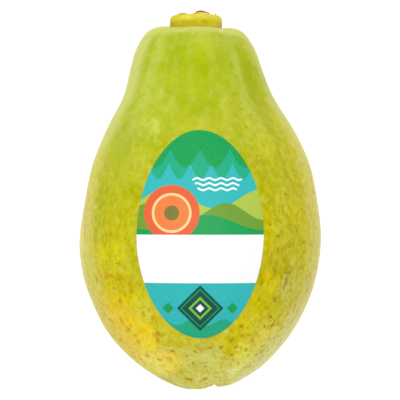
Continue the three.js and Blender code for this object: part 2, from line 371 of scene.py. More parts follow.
# Washes of colour on the upper skin, two of them painted shade and light: x and y from above, half
# their size across and along the fruit, a screen colour and how strongly it covers. Each lies over
# those before it.
OLIVE = (172, 186, 0)
LEAF = (166, 180, 0)
YELLOW = (214, 200, 0)
GOLD = (252, 206, 20)
AMBER = (244, 211, 54)
STRAW = (232, 221, 72)
LIME = (204, 205, 88)
ASH = (246, 246, 146)
WASHES = [
    # The neck and the upper belly.
    (-3.0, 43.0, 10, 17, LEAF, 0.72), (7.4, 41.5, 5, 6, LEAF, 0.5),
    # The two washes on the next line are painted shade over the upper left belly and painted light
    # on the upper right.
    (-14.0, 29.0, 18, 9, LEAF, 0.35), (22.8, 20.5, 5, 8, (212, 210, 14), 0.4),
    (-28.7, 15.0, 5, 9, LEAF, 0.4), (-8.3, 51.6, 4.6, 5.6, (158, 176, 0), 0.95),
    (-9.6, 43.0, 2.6, 3, OLIVE, 0.6), (2.6, 54.0, 3.8, 8, OLIVE, 0.75),
    (15.6, 50.8, 4.6, 6, OLIVE, 0.65), (14.9, 42.8, 4.5, 6, OLIVE, 0.3),
    (20.4, 37.5, 5, 7, OLIVE, 0.65), (24.5, 32.0, 5, 7, (180, 182, 0), 0.7),
    (-26.0, 26.0, 5, 12, LIME, 0.5),
    # The left flank, ripening to gold at its lower end.
    (-28.3, -6.1, 9, 9, (186, 186, 0), 0.5), (-30.1, -15.0, 9, 6, (194, 186, 0), 0.6),
    (-31.5, -20.5, 7, 5, (220, 208, 0), 0.5), (-36.0, -22.0, 5, 9, YELLOW, 0.5),
    (-29.2, -31.0, 7, 8, YELLOW, 0.9), (-24.5, -36.2, 6, 6, YELLOW, 0.8),
    (-33.0, -38.2, 5, 8, GOLD, 0.55), (-35.0, -44.0, 4, 8, (238, 192, 6), 0.5),
    (-30.0, -47.0, 7, 7, AMBER, 0.8), (-25.6, -53.5, 8, 6, AMBER, 0.85),
    (-27.6, -43.3, 6, 6, GOLD, 0.6), (-21.0, -49.5, 8, 8, GOLD, 0.8),
    (-17.8, -51.5, 5, 8, GOLD, 0.8), (-19.0, -55.6, 7, 5, (255, 218, 20), 0.6),
    (-13.6, -58.0, 7, 5, AMBER, 0.8), (-17.0, -60.0, 10, 5, (255, 232, 92), 0.85),
    (-19.5, -40.5, 4, 5, (208, 200, 56), 0.7), (-13.0, -47.6, 4, 3, (194, 188, 0), 0.6),
    (-12.6, -51.6, 6, 3.6, (198, 190, 0), 0.55),
    # The right flank and the blossom end.
    (24.6, -31.0, 4, 9, YELLOW, 0.95), (19.8, -38.9, 4, 7, YELLOW, 0.95),
    (15.6, -45.9, 4.5, 6, YELLOW, 0.95), (11.7, -52.0, 6, 5, YELLOW, 0.95),
    (25.0, -50.0, 6, 8, STRAW, 0.7), (33.0, -42.0, 5, 8, (184, 182, 44), 0.85),
    (31.5, -31.0, 5, 9, LIME, 0.6), (26.0, -56.0, 7, 4, ASH, 0.6),
    (17.5, -62.0, 9, 6, (255, 252, 156), 0.95), (0.0, -56.0, 9, 7, LIME, 0.5),
    (24.0, -14.0, 3.5, 10, YELLOW, 0.6), (27.6, -21.0, 5, 7, (188, 172, 2), 0.55),
    # More patches over these.
    (-26.0, -30.5, 5, 5, (190, 176, 0), 0.6), (-24.4, 23.0, 6.5, 12, (156, 170, 0), 0.75),
    (-18.2, 25.0, 4, 5, (204, 212, 92), 0.45), (2.6, 31.5, 5, 6, (158, 172, 0), 0.6),
    (-7.5, 26.0, 5, 6, LEAF, 0.5), (33.2, -5.0, 4, 6, (212, 200, 6), 0.5),
    (38.5, -25.5, 3.5, 5, (230, 220, 70), 0.7), (16.5, -55.5, 6, 6, (240, 236, 84), 0.75),
    (-28.7, -36.5, 4, 4, (232, 210, 8), 0.7), (-18.4, -51.6, 3.5, 3.5, (255, 222, 50), 0.8),
    (-13.3, -56.7, 4, 4, (250, 220, 90), 0.6), (17.7, 26.0, 4, 5, (198, 198, 46), 0.5),
]

# How far a wash spreads round its middle, and into the flesh, against its half size.
WASH_SPREAD = 1.4
WASH_DEPTH = 2

# Blemishes: x and y from above, and half their size across and along the fruit.
BROWN_MARKS = [
    (30.4, -30.0, 0.85, 2.7), (30.9, -26.4, 2.1, 0.35), (39.5, -27.4, 0.5, 1),
    (38.7, -33.3, 0.8, 0.5), (26.6, -36.2, 0.9, 1.3), (21.8, -29.6, 0.6, 1),
    (26.9, -43.7, 0.6, 0.9), (22.8, -45.9, 0.7, 0.8), (25.2, -42.3, 0.5, 0.6),
    (14.7, -49.0, 0.8, 0.7), (11.2, -50.4, 0.9, 0.9), (7.5, -52.9, 0.8, 0.9),
    (13.0, -53.0, 0.9, 0.9), (14.5, -45.3, 0.8, 0.8), (11.2, -56.2, 0.8, 0.5),
    (13.8, -59.2, 0.7, 0.5), (20.2, -56.2, 0.6, 0.6), (-4.6, -56.2, 0.6, 0.6),
    (-2.3, -58.9, 0.6, 0.5), (-1.6, -54.8, 0.7, 0.6), (25.4, -20.1, 0.45, 0.7),
    (27.5, -18.4, 0.45, 0.8), (27.5, -13.4, 0.9, 0.5), (37.2, -15.8, 0.7, 0.7),
    (39.9, -16.2, 0.4, 0.8), (29.1, -3.2, 0.5, 0.6), (24.8, -9.5, 0.5, 0.6),
    (34.5, -12.1, 0.4, 0.6), (33.8, 9.7, 0.5, 0.7), (30.6, 1.4, 0.6, 0.8),
    (-26.5, -14.5, 0.5, 0.6), (-4.0, -65.2, 1.7, 0.6), (2.0, -65.3, 0.9, 0.5),
    (-40.2, -1.1, 0.4, 0.6), (31.2, -41.8, 0.6, 0.7), (34.5, -38.2, 0.5, 0.9),
    (16.5, -54.3, 0.7, 0.6), (40.0, -30.2, 0.4, 0.8), (29.0, -51.6, 0.5, 0.7),
    (24.4, -55.4, 0.6, 0.5), (21.4, -58.5, 0.7, 0.5), (18.0, -60.9, 0.8, 0.4),
    (3.7, -53.4, 0.7, 0.6), (17.4, -48.4, 0.5, 0.6), (31.8, -9.4, 0.5, 0.5),
    (27.9, -4.6, 0.4, 0.6), (36.3, -4.0, 0.4, 0.7), (30.0, 6.2, 0.5, 0.5),
]
RUSTY_MARKS = [
    (-31.7, -27.8, 1.1, 0.8), (-35.5, -28.0, 0.7, 0.6), (-30.5, -32.2, 0.9, 0.5),
    (-28.5, -36.9, 1, 0.9), (-25.4, -46.9, 0.9, 0.85), (-28.7, -51.6, 1, 1),
    (-22.2, -51.7, 1.05, 0.95), (-14.9, -47.9, 0.9, 1), (-15.1, -50.5, 0.95, 1),
    (-23.1, -49.2, 0.9, 0.55), (-18.8, -56.8, 1, 0.8), (-14.3, -58.0, 1.5, 0.45),
    (-9.9, -54.6, 1, 0.6), (-23.6, -57.5, 0.6, 0.6), (-21.4, -58.5, 0.7, 0.5),
    (17.9, 29.4, 0.5, 0.5), (16.3, 25.3, 0.5, 0.5), (5.2, 37.7, 0.4, 0.4), (7.1, 28.1, 0.4, 0.4),
    (10.3, 27.2, 0.4, 0.4), (25.2, 24.8, 0.4, 0.4), (20.2, 14.9, 0.5, 0.5),
    (19.1, 13.1, 0.45, 0.5),
]
DULL_BLOTCHES = [
    (-37.2, -29.3, 1.2, 1.2), (-33.2, -27.8, 1.3, 1.1), (-28.1, -28.7, 1.3, 1.5),
    (-24.7, -30.2, 1.1, 1.4), (-24.4, -33.0, 1.3, 1.2), (-28.1, -43.9, 1, 1.5),
    (-32.0, -44.4, 1, 1.3), (-20.1, -40.9, 0.7, 1.1), (-16.8, -42.3, 0.6, 0.9),
    (-15.8, -48.8, 1.2, 1), (21.1, -35.7, 0.9, 1.2), (27.8, -44.9, 0.8, 1.3),
    (24.4, -46.1, 0.8, 1), (29.3, -46.9, 0.7, 1.2), (18.6, -51.0, 0.9, 0.9),
    (28.1, -49.9, 0.7, 1.1), (22.4, -55.2, 0.9, 0.8), (33.9, -39.7, 0.8, 1.5),
    (8.6, -57.0, 1.2, 0.9), (0.6, -53.6, 1.2, 0.9),
]
PALE_SPOTS = [
    (-37.2, -3.6, 0.5, 0.5), (-27.6, -25.9, 0.5, 0.6), (-27.8, -40.4, 0.7, 0.8),
    (9.2, -47.4, 0.7, 0.6), (-9.3, 53.6, 0.4, 0.4), (-10.8, -53.5, 1.7, 0.6),
    (-14.0, -52.9, 0.9, 0.4),
]
MARK_SPREAD = 1.8
MARK_DEPTH = 2.2


def hazy(tint):
    """The screen colour of a wash where the skin's haze lies over it."""
    red, green, blue = tint
    return min(red + 14, 250), min(green + 14, 250), blue + 16


class SkinFinish(Finish):
    """Paint for the skin. Its angle runs round the axis, 0 along the top and growing rightwards."""

    def __init__(self):
        super().__init__("papaya_skin", FRUIT_FRAME)
        self.patches = self.noise(13, detail=2, along=1.7)
        self.streaks = self.noise(3.4, detail=3, along=5)
        self.mottles = self.noise(2.6, detail=3, rough=0.6, along=1.4, shift=9)
        self.grain = self.noise(0.8, detail=2, along=1.2, shift=4)
        self.ragged = self.swing(self.mottles, 1.0)
        self.uneven = self.swing(self.mottles, 2.4)
        self.frayed = self.swing(self.grain, 0.9)
        self.drifting = self.warped(6, 2.2)
        self.crumpled = self.warped(1.1, 0.55, shift=7)
        self.angle = self.calc("ARCTAN2", self.x, self.z)

    def wavering(self, reach):
        """The angle, made uneven over that reach."""
        return self.plus(self.angle, self.times(self.ragged, reach))

    def region(self, x, y, radii):
        """1 at a place on the upper skin, fading out unevenly to those radii round it."""
        return self.near(on_skin(x, y), radii, self.drifting)

    def both(self, cover, ground, tints):
        """The clear and the hazy ground colour, with a screen colour laid over each."""
        return [self.mix(cover, under, srgb(*tint)) for under, tint in zip(ground, tints)]

    def ripen(self):
        """The ground colour: how ripe a place is, the washes over it, and how hazy it looks."""
        times, plus, ramp, mix = self.times, self.plus, self.ramp, self.mix
        ripeness = plus(ramp(self.y, 62, 2), ramp(self.patches, 0.3, 0.7, -0.2, 0.2))
        ripeness = plus(ripeness, ramp(self.x, -25, 30, -0.12, 0.16), clamp=True)
        haze = times(self.patches, 0.6)
        for noise, share in ((self.streaks, 0.4), (self.mottles, 0.36), (self.grain, 0.18)):
            haze = plus(haze, times(noise, share))
        haze = ramp(haze, 0.58, 0.96)
        belly = ramp(self.y, -14, -36)
        end = ramp(self.y, -33, -49)
        ground = [mix(ripeness, srgb(167, 183, 0), srgb(184, 181, 0)),
                  mix(ripeness, srgb(194, 205, 80), srgb(200, 197, 42))]
        ground = self.both(belly, ground, ((212, 197, 0), (217, 209, 58)))
        ground = self.both(end, ground, ((214, 206, 34), (230, 228, 130)))
        for x, y, across, along, tint, strength in WASHES:
            radii = (across * WASH_SPREAD, along * WASH_SPREAD, across * WASH_DEPTH)
            reach = self.region(x, y, radii)
            reach = self.calc("MULTIPLY_ADD", reach, self.uneven, reach)
            cover = ramp(reach, 0.05, 0.6, 0.0, strength)
            ground = self.both(cover, ground, (tint, hazy(tint)))
        self.colour = mix(haze, *ground)

    def paint_neck_rib_light_and_shade(self):
        """Faint lengthwise streaks down the neck: painted highlights on its ribs and painted shade
        between them, two of the highlights stronger.
        """
        times, ramp = self.times, self.ramp
        ribs = self.noise(4.6, detail=1, along=9, shift=17)
        neck = ramp(self.y, 12, 34)
        # Painted highlights on the neck's ribs, in faint pale streaks.
        self.coat(times(ramp(ribs, 0.5, 0.64), times(neck, 0.16)), srgb(202, 210, 96))
        # Painted shade between them, in faint dark streaks.
        self.coat(times(ramp(ribs, 0.48, 0.36), times(neck, 0.3)), srgb(170, 187, 4))
        # Two stronger painted highlights along ribs of the neck.
        for place in (-0.72, 0.59):
            rib_highlight = ramp(self.gap(self.wavering(0.1), place), 0.15, 0.02)
            self.coat(times(rib_highlight, times(ramp(self.y, 26, 40), 0.35)), srgb(204, 211, 96))

    def paint_crest_highlight(self):
        """A painted pale highlight along the crest of the shoulder round the stalk, where it turns
        away.
        """
        crest = self.ramp(self.plus(self.y, self.times(self.ragged, 1.2)), 73.4, 76.2)
        # Painted highlight on the shoulder's crest.
        self.coat(self.times(crest, 0.6), srgb(220, 223, 108))

    def paint_left_flank_highlight(self):
        """A painted pale highlight in a band along the left flank, thinner where it turns under."""
        times, plus, ramp, mix = self.times, self.plus, self.ramp, self.mix
        turned = self.wavering(0.22)
        start = plus(ramp(self.y, 38, 26, -0.88, -0.96), ramp(self.y, -16, -36, 0.0, -0.14))
        band = times(ramp(turned, start, plus(start, -0.19)), ramp(self.y, 80, 72, 0.2, 0.9))
        band = times(band, ramp(self.y, -20, -36, 1.0, 0.6))
        under = ramp(self.angle, -1.5, -2.0)
        cloud = plus(times(self.patches, 0.5), times(self.streaks, 0.5))
        worn = ramp(cloud, 0.3, 0.6, 0.2, 0.75)
        band = times(band, self.rest(times(under, worn)))
        highlight_tint = mix(ramp(self.y, 40, 22), srgb(211, 213, 116), srgb(217, 210, 92))
        # Lays the painted highlight, warmer towards the blossom end.
        self.coat(band, mix(ramp(self.y, -2, -30), highlight_tint, srgb(228, 210, 86)))

    def paint_right_flank_light_and_shade(self):
        """A painted pale highlight in a band along the right flank, a warmer band above it, a line
        of painted shade at the neck and a painted highlight along one of the neck's ribs.
        """
        times, plus, ramp, mix = self.times, self.plus, self.ramp, self.mix
        turned = self.wavering(0.4)
        warm = times(ramp(turned, 0.74, 0.98), ramp(self.y, 56, 34))
        self.coat(times(warm, 0.6), srgb(216, 205, 40))
        start = ramp(self.y, -22, -42, 0.97, 0.76)
        band = times(ramp(turned, start, plus(start, 0.22)), ramp(self.y, 54, 42, 0.4, 1.0))
        # Painted highlight along the right flank, paler towards the blossom end.
        self.coat(times(band, 0.78),
                  mix(ramp(self.y, -16, -38), srgb(224, 214, 104), srgb(234, 231, 134)))
        # Painted shade: a dark olive line down the right of the neck.
        green = times(ramp(self.gap(turned, 0.83), 0.2, 0.06), ramp(self.y, 40, 48))
        self.coat(times(green, ramp(self.y, 76, 60, 0.0, 0.9)), srgb(172, 180, 0))
        # A painted highlight along one of the neck's ribs.
        rib_highlight = ramp(self.gap(self.angle, 1.17), 0.09, 0.03)
        rib_highlight = times(rib_highlight, times(ramp(self.y, 32, 44), ramp(self.streaks, 0.3, 0.6, 0.4, 1.0)))
        self.coat(times(rib_highlight, 0.5), srgb(204, 206, 110))

    def tint_left_rim(self):
        """A peach flush on the far left, and a painted pale highlight below it, where the flank
        turns under.
        """
        flush = self.region(-41.6, -6.2, (2.6, 14, 7))
        self.coat(self.times(flush, 0.8), srgb(230, 184, 108))
        # Painted pale highlight at the left rim.
        rim_highlight = self.region(-43, -16, (4, 14, 9))
        self.coat(self.times(rim_highlight, 0.65), srgb(242, 230, 128))

    def fade_beneath(self, plain):
        """Fades the painted highlight bands out on the underside, where the skin is a little
        duller.
        """
        times, plus, mix = self.times, self.plus, self.mix
        around = self.calc("ABSOLUTE", self.angle)
        cloud = plus(times(self.patches, 0.7), times(self.streaks, 0.5))
        beneath = self.ramp(plus(around, cloud), 2.2, 3.1)
        dull = mix(self.patches, srgb(186, 176, 24), srgb(214, 196, 60))
        self.coat(beneath, mix(0.25, plain, dull))

    def mottle(self):
        """A spongy mottling, stronger on the belly than on the neck."""
        times, ramp = self.times, self.ramp
        sponge = self.noise(1.9, detail=2, rough=0.5, along=1.25, shift=33)
        smooth = self.region(-28, 16, (15, 28, 18))
        calmed = self.calc("MULTIPLY_ADD", smooth, -0.6, 1.0)
        strong = times(ramp(self.y, 52, 8, 0.3, 1.0), calmed)
        dark = times(ramp(sponge, 0.47, 0.68), times(strong, 0.75))
        self.coat(dark, srgb(240, 228, 116), "MULTIPLY")
        light = times(ramp(sponge, 0.47, 0.32), times(strong, 0.2))
        self.coat(light, srgb(222, 218, 122))

    def spread_net(self):
        """A greyish net of fine lengthwise streaks on the right flank and at the blossom end."""
        times, plus, ramp = self.times, self.plus, self.ramp
        net = self.noise(1.2, detail=3, rough=0.65, along=2.8, shift=21)
        flank = times(ramp(self.x, 6, 28, 0.0, 0.85), ramp(self.y, 20, -8, 0.25, 1.0))
        where = plus(flank, ramp(self.y, -22, -42, 0.0, 0.9), clamp=True)
        where = times(where, ramp(self.y, 44, 20))
        self.coat(times(times(ramp(net, 0.52, 0.68), where), 0.36), srgb(168, 124, 34))
        self.coat(times(times(ramp(net, 0.46, 0.32), where), 0.22), srgb(226, 216, 108))
        scuffed = self.region(32, -33, (7, 15, 12))
        scuffed = times(ramp(net, 0.5, 0.34), ramp(scuffed, 0.1, 0.6))
        self.coat(times(scuffed, 0.55), srgb(222, 208, 158))

    def freckle(self):
        """Specks of three sizes, gathered on the right flank and towards the blossom end."""
        times, plus, ramp, mix = self.times, self.plus, self.ramp, self.mix
        crowd = plus(ramp(self.y, 44, -20, 0.0, 0.5), ramp(self.x, -8, 28, 0.0, 0.4), clamp=True)
        crowd = times(crowd, ramp(self.y, 52, 36))
        crowd = times(crowd, ramp(self.y, -50, -42, 0.55, 1.0))
        crowd = times(crowd, ramp(self.patches, 0.35, 0.65, 0.6, 1.25))
        freckled = plus(self.region(-30.5, -27, (12, 15, 14)), self.region(33, -28, (10, 20, 14)))
        crowd = plus(crowd, times(freckled, 0.8), clamp=True)
        golden = self.region(-22, -50, (11, 10, 11))
        clean = plus(times(ramp(self.angle, -0.98, -1.12), 0.7), times(golden, 1.6), clamp=True)
        crowd = times(crowd, self.rest(clean))

        fine, fine_random = self.specks(
            1.2, 0.42, times(crowd, 0.85), along=1.15, point=self.crumpled)
        medium, medium_random = self.specks(
            2.6, 0.9, times(crowd, 0.6), along=1.4, shift=3, point=self.crumpled)
        brown = mix(ramp(fine_random[1], 0.3, 0.8), srgb(138, 98, 10), srgb(164, 126, 52))
        self.coat(times(fine, 0.42), brown)
        brown = mix(ramp(medium_random[2], 0.3, 0.8), srgb(152, 108, 16), srgb(178, 140, 62))
        self.coat(times(medium, ramp(medium_random[1], 0.1, 0.9, 0.25, 0.65)), brown)
        blots, blot_random = self.specks(
            3.6, 1.45, times(crowd, 0.6), along=1.6, shift=14, point=self.crumpled)
        strength = plus(ramp(blot_random[1], 0.1, 0.9, 0.1, 0.4), times(freckled, 0.4), clamp=True)
        blots = times(blots, strength)
        rust = mix(ramp(blot_random[2], 0.35, 0.65), srgb(170, 138, 10), srgb(182, 116, 24))
        self.coat(blots, rust)

    def fleck_right(self):
        """Small golden flecks between the right flank and the neck."""
        flecked = self.region(17, 29, (20, 19, 20))
        flecks, _ = self.specks(2.0, 0.72, flecked, along=1.2, shift=25, point=self.crumpled)
        self.coat(self.times(flecks, 0.6), srgb(194, 152, 6))

    def scatter(self, marks, edge):
        """A mask of all the marks, with uneven edges."""
        total = 0.0
        for x, y, across, along in marks:
            radii = (across * MARK_SPREAD, along * MARK_SPREAD, across * MARK_DEPTH)
            mark = self.near(on_skin(x, y), radii, self.crumpled)
            total = self.calc("MAXIMUM", mark, total)
        uneven = self.plus(total, self.times(self.ramp(total, 0, 0.3), edge))
        return self.ramp(uneven, 0.14, 0.8)

    def blemish(self):
        """Dull blotches, brown and rusty marks, and pale scuffed spots."""
        for marks, edge, strength, tint in (
            (DULL_BLOTCHES, self.ragged, 0.45, (180, 136, 4)),
            (BROWN_MARKS, self.frayed, 0.62, (164, 110, 22)),
            (RUSTY_MARKS, self.frayed, 0.62, (194, 112, 16)),
            (PALE_SPOTS, self.frayed, 0.7, (226, 212, 150)),
        ):
            self.coat(self.times(self.scatter(marks, edge), strength), srgb(*tint))

    def scar_end(self):
        """The corky scar left by the flower, dark in the middle."""
        scar = self.near((SCAR_SHIFT, SCAR, 0), (4.2, 3.5, 4.2), self.crumpled)
        self.coat(self.ramp(self.plus(scar, self.frayed), 0.3, 0.6), srgb(176, 150, 84))
        self.coat(self.ramp(self.plus(scar, self.frayed), 0.62, 0.8), srgb(92, 64, 32))


def skin_finish():
    """Lime green at the neck, ripening to yellow at the blossom end, mottled and specked, with
    painted highlights and shade.
    """
    f = SkinFinish()
    f.ripen()
    f.paint_neck_rib_light_and_shade()
    f.paint_crest_highlight()
    plain = f.colour
    f.paint_left_flank_highlight()
    f.paint_right_flank_light_and_shade()
    f.tint_left_rim()
    f.fade_beneath(plain)
    f.mottle()
    f.spread_net()
    f.freckle()
    f.fleck_right()
    f.blemish()
    f.scar_end()
    height = f.plus(f.times(f.mottles, 0.8), f.times(f.grain, 0.5))
    return f.paint(f.ramp(f.grain, 0.2, 0.8, 0.4, 0.52), height, 0.05,
                   Specular_IOR_Level=0.03, Sheen_Weight=0.3, Sheen_Roughness=0.25)


skin.data.materials.append(skin_finish())


# ---- Stalk stub ---------------------------------------------------------------------------------

# Stations up the stalk and the stub's radius there, in millimetres.
STUB_RINGS = [
    (77.0, 9.0), (78.4, 9.5), (79.8, 9.75), (81.0, 9.85), (82.0, 9.9), (83.0, 9.9), (83.8, 9.65),
    (84.35, 9.2), (84.7, 8.45), (84.7, 7.5), (84.35, 6.8), (84.0, 6.1), (83.85, 4.2), (83.75, 2.0),
]

# Above each lowest station the stub is leaned about its pivot, so that its face stands upright.
STUB_LEANS = ((80.5, 82.5), (83.0, 84.9))

# Stains round the foot, painted shade in the middle of the foot and painted highlights on top under
# the rim:
# place, radii, where the edge starts and is full, how strongly it covers, and a screen colour.
STUB_STAINS_SHADE_AND_HIGHLIGHTS = [
    ((-9.0, -2.5, 80.3), (4.5, 7, 3.0), 0.2, 0.8, 0.6, (196, 158, 20)),
    # Painted shade in the middle of the foot.
    ((4.0, -9.5, 80.3), (3.6, 4, 1.9), 0.1, 0.9, 0.5, (186, 158, 0)),
    ((8.6, -4.0, 79.4), (2.4, 6, 2.0), 0.1, 0.7, 0.45, (214, 180, 90)),
    # Painted highlights on the top of the stub, under its rim.
    ((-4.0, -9.0, 82.4), (4.6, 3, 2.2), 0.1, 0.8, 0.45, (236, 230, 88)),
    ((1.4, -9.4, 83.2), (4.6, 3, 2.2), 0.1, 0.8, 0.45, (236, 230, 88)),
    ((6.5, -7.0, 83.2), (4.6, 3, 2.2), 0.1, 0.8, 0.45, (236, 230, 88)),
]


def extrude_ring(step, size):
    """Extrudes the selected end face along z by step millimetres and resizes it."""
    bpy.ops.mesh.extrude_region_move(TRANSFORM_OT_translate={"value": (0, 0, step * MM)})
    bpy.ops.transform.resize(value=(size, size, 1))


def turn_stub():
    """A bun-like stub: rings drawn up from the foot, over the edge and down into a broken cup."""
    bpy.ops.object.select_all(action="DESELECT")
    bpy.ops.mesh.primitive_circle_add(vertices=48, radius=STALK_FOOT_RADIUS * MM, fill_type="NGON",
                                      location=(0, 0, STALK_FOOT * MM))
    stub = begin("stalk_stub_bun")
    station, radius = STALK_FOOT, STALK_FOOT_RADIUS
    with editing(stub, "FACE"):
        for next_station, next_radius in STUB_RINGS:
            extrude_ring(next_station - station, next_radius / radius)
            station, radius = next_station, next_radius
        bpy.ops.mesh.poke()
    lean_face(stub)
    finish_with(stub, "SUBSURF", levels=2, render_levels=2)
    settle(stub, STALK_FRAME)
    roughen(stub, 4.2, 0.15)
    roughen(stub, 1.3, 0.06)
    shade_smooth(stub)
    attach(stub, "root")
    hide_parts("stalk_stub")
    return stub


def lean_face(stub):
    """Leans the upper rings of the stub in steps, until the broken face stands upright."""
    step = -NECK_DROP / len(STUB_LEANS)
    for lowest, pivot in STUB_LEANS:
        pick(stub)
        for vertex in stub.data.vertices:
            vertex.select = vertex.co.z > lowest * MM
        bpy.ops.object.mode_set(mode="EDIT")
        bpy.ops.mesh.select_mode(type="VERT")
        bpy.ops.transform.rotate(value=step, orient_axis="X", center_override=(0, 0, pivot * MM))
        bpy.ops.object.mode_set(mode="OBJECT")


def stub_finish():
    """Yellow stalk with painted shade at the foot and painted highlights on top, brown at the lower
    left and orange at the broken rim.
    """
    f = Finish("stalk_stub", STALK_FRAME)
    times, plus, ramp, mix = f.times, f.plus, f.ramp, f.mix
    patches = f.noise(4.5, detail=2)
    mottles = f.noise(1.1, detail=3, rough=0.6, shift=5)
    grain = f.noise(0.4, detail=2, shift=2)
    ragged = f.swing(mottles, 0.9)
    f.colour = mix(ramp(plus(times(patches, 0.75), times(mottles, 0.3)), 0.4, 0.75),
                   srgb(216, 206, 48), srgb(232, 226, 98))
    # Painted shade: darker and duller towards the foot, where the stub meets the shoulder.
    foot = ramp(plus(f.z, times(ragged, 1.5)), 82.3, 80.3)
    foot = times(foot, ramp(patches, 0.34, 0.6, 0.45, 1.0))
    f.coat(times(foot, 0.88), srgb(188, 164, 0))
    for place, radii, start, full, strength, tint in STUB_STAINS_SHADE_AND_HIGHLIGHTS:
        stain_and_light = ramp(plus(f.near(place, radii), ragged), start, full)
        f.coat(times(stain_and_light, strength), srgb(*tint))
    rim = ramp(plus(f.z, times(ragged, 0.8)), 84.0, 84.6)
    rim = times(rim, ramp(f.x, 2.0, -3.5, 0.25, 1.0))
    f.coat(times(rim, 0.85), srgb(204, 130, 30))
    across = f.node("ShaderNodeCombineXYZ", {0: f.x, 1: f.y}).outputs[0]
    inner = ramp(plus(f.vector("LENGTH", across, output="Value"), ragged), 7.1, 6.6)
    cup = times(inner, ramp(f.z, 82.4, 82.8))
    f.coat(cup, mix(mottles, srgb(120, 82, 34), srgb(196, 160, 98)))
    height = plus(mottles, times(grain, 0.5))
    return f.paint(ramp(grain, 0.2, 0.8, 0.42, 0.58), height, 0.12, Specular_IOR_Level=0.06)


stub = turn_stub()
stub.data.materials.append(stub_finish())


# ---- Dried crust --------------------------------------------------------------------------------

# Steps up the torn rim and in over its edge: each one's rise and its size against the last.
RIM_STEPS = ((0.4, 0.985), (0.32, 0.96), (-0.05, 0.9), (-0.4, 0.86), (-0.15, 0.7), (0.05, 0.4))

# Flaps of dried skin: the middle of the foot, width and height, then the lean and the turn round
# the stalk in radians, and the bend in degrees.
CRUST_FLAPS = [
    ((1.9, -3.0, 84.78), 5.2, 1.6, 0.2, 0.1, 60),
    ((3.7, -2.6, 84.85), 3.4, 1.1, 0.25, -0.2, 50),
    ((0.2, -3.6, 84.8), 3.4, 0.8, 0.35, -0.3, 50),
    ((-4.9, -3.2, 84.8), 4.2, 0.6, 0.4, -0.4, 40),
    ((-1.5, 3.2, 84.5), 4.4, 0.9, -0.4, 0.3, -50),
    ((3.6, 3.6, 84.5), 3.0, 0.8, -0.3, -0.4, -50),
]


def ragged_rim():
    """The torn edge of the dried skin, standing round the broken face."""
    bpy.ops.object.select_all(action="DESELECT")
    bpy.ops.mesh.primitive_circle_add(vertices=56, radius=CRUST_RADIUS * MM,
                                      location=(CRUST_SHIFT * MM, 0, CRUST_FOOT * MM))
    rim = begin("crust_rim")
    with editing(rim):
        for step, size in RIM_STEPS:
            bpy.ops.mesh.extrude_edges_move(TRANSFORM_OT_translate={"value": (0, 0, step * MM)})
            bpy.ops.transform.resize(value=(size, size, 1))
        bpy.ops.mesh.edge_face_add()
        bpy.ops.mesh.select_all(action="SELECT")
        bpy.ops.transform.vertex_random(offset=0.2 * MM, seed=5)
    return rim


def curled_flap(place, width, height, lean, turn, bend):
    """A flap of dried skin standing up from the broken face, curled over."""
    bpy.ops.object.select_all(action="DESELECT")
    bpy.ops.mesh.primitive_circle_add(vertices=24, radius=1, rotation=(math.radians(90), 0, 0))
    flap = begin("crust_flap")
    with editing(flap):
        bpy.ops.mesh.fill_grid(span=6)
        bpy.ops.transform.vertex_random(offset=0.07, seed=int(width * 10))
    settle(flap, Matrix.Diagonal((width / 2 * MM, MM, height * MM, 1)))
    finish_with(flap, "SIMPLE_DEFORM", deform_method="BEND", deform_axis="Z",
                angle=math.radians(bend))
    foot = Matrix.Translation(Vector(place) * MM)
    settle(flap, foot @ Matrix.Rotation(turn, 4, "Z") @ Matrix.Rotation(lean, 4, "X"))
    return flap


def splinter(place, height, lean):
    """A stiff thread of dried fibre."""
    bpy.ops.object.select_all(action="DESELECT")
    bpy.ops.mesh.primitive_cone_add(vertices=7, radius1=0.42 * MM, radius2=0.1 * MM,
                                    depth=height * MM, location=Vector(place) * MM,
                                    rotation=(0, lean, 0))
    thread = begin("crust_thread")
    with editing(thread):
        bpy.ops.mesh.subdivide(number_cuts=2)
        bpy.ops.transform.vertex_random(offset=0.07 * MM, seed=3)
    return thread


def dry_crust():
    """Thin torn sheets, thickened, and one splinter beside them."""
    crust = join(ragged_rim(), *[curled_flap(*flap) for flap in CRUST_FLAPS])
    crust.name = "dried_stalk_crust"
    finish_with(crust, "SOLIDIFY", thickness=0.28 * MM, offset=0)
    join(crust, splinter((7.4, -3.0, 84.8), 1.7, 0.12))
    finish_with(crust, "SUBSURF", levels=2, render_levels=2)
    settle(crust, FACE_FRAME)
    roughen(crust, 1.1, 0.08)
    shade_smooth(crust)
    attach(crust, "root")
    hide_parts("dried_crust")
    return crust


def crust_finish():
    """Dried stalk skin: dark brown edges, tan and orange faces, a grey splinter."""
    f = Finish("dried_crust", FACE_FRAME)
    ramp = f.ramp
    patches = f.noise(1.6, detail=2)
    fibres = f.noise(0.5, detail=3, rough=0.65, shift=7)
    f.colour = f.mix(ramp(patches, 0.35, 0.65), srgb(238, 200, 140), srgb(218, 164, 96))
    f.coat(ramp(fibres, 0.52, 0.74, 0.0, 0.5), srgb(136, 92, 38))
    high = ramp(f.plus(f.z, f.times(fibres, 0.5)), 85.84, 86.02)
    orange = f.near((-5.1, -3.0, 84.9), (3, 3, 1.6))
    f.coat(ramp(orange, 0.1, 0.5, 0.0, 0.8), srgb(212, 134, 48))
    inner = f.near((2.6, -3.4, 85.3), (2.6, 2.5, 1.1))
    f.coat(ramp(inner, 0.1, 0.6, 0.0, 0.8), srgb(240, 210, 140))
    f.coat(f.times(high, 0.85), srgb(110, 70, 26))
    grey = f.near((7.5, -3.0, 85.2), (1.2, 1.5, 1.6))
    f.coat(ramp(grey, 0.1, 0.4), srgb(166, 146, 116))
    return f.paint(ramp(fibres, 0.2, 0.8, 0.6, 0.8), fibres, 0.12, Specular_IOR_Level=0.2)


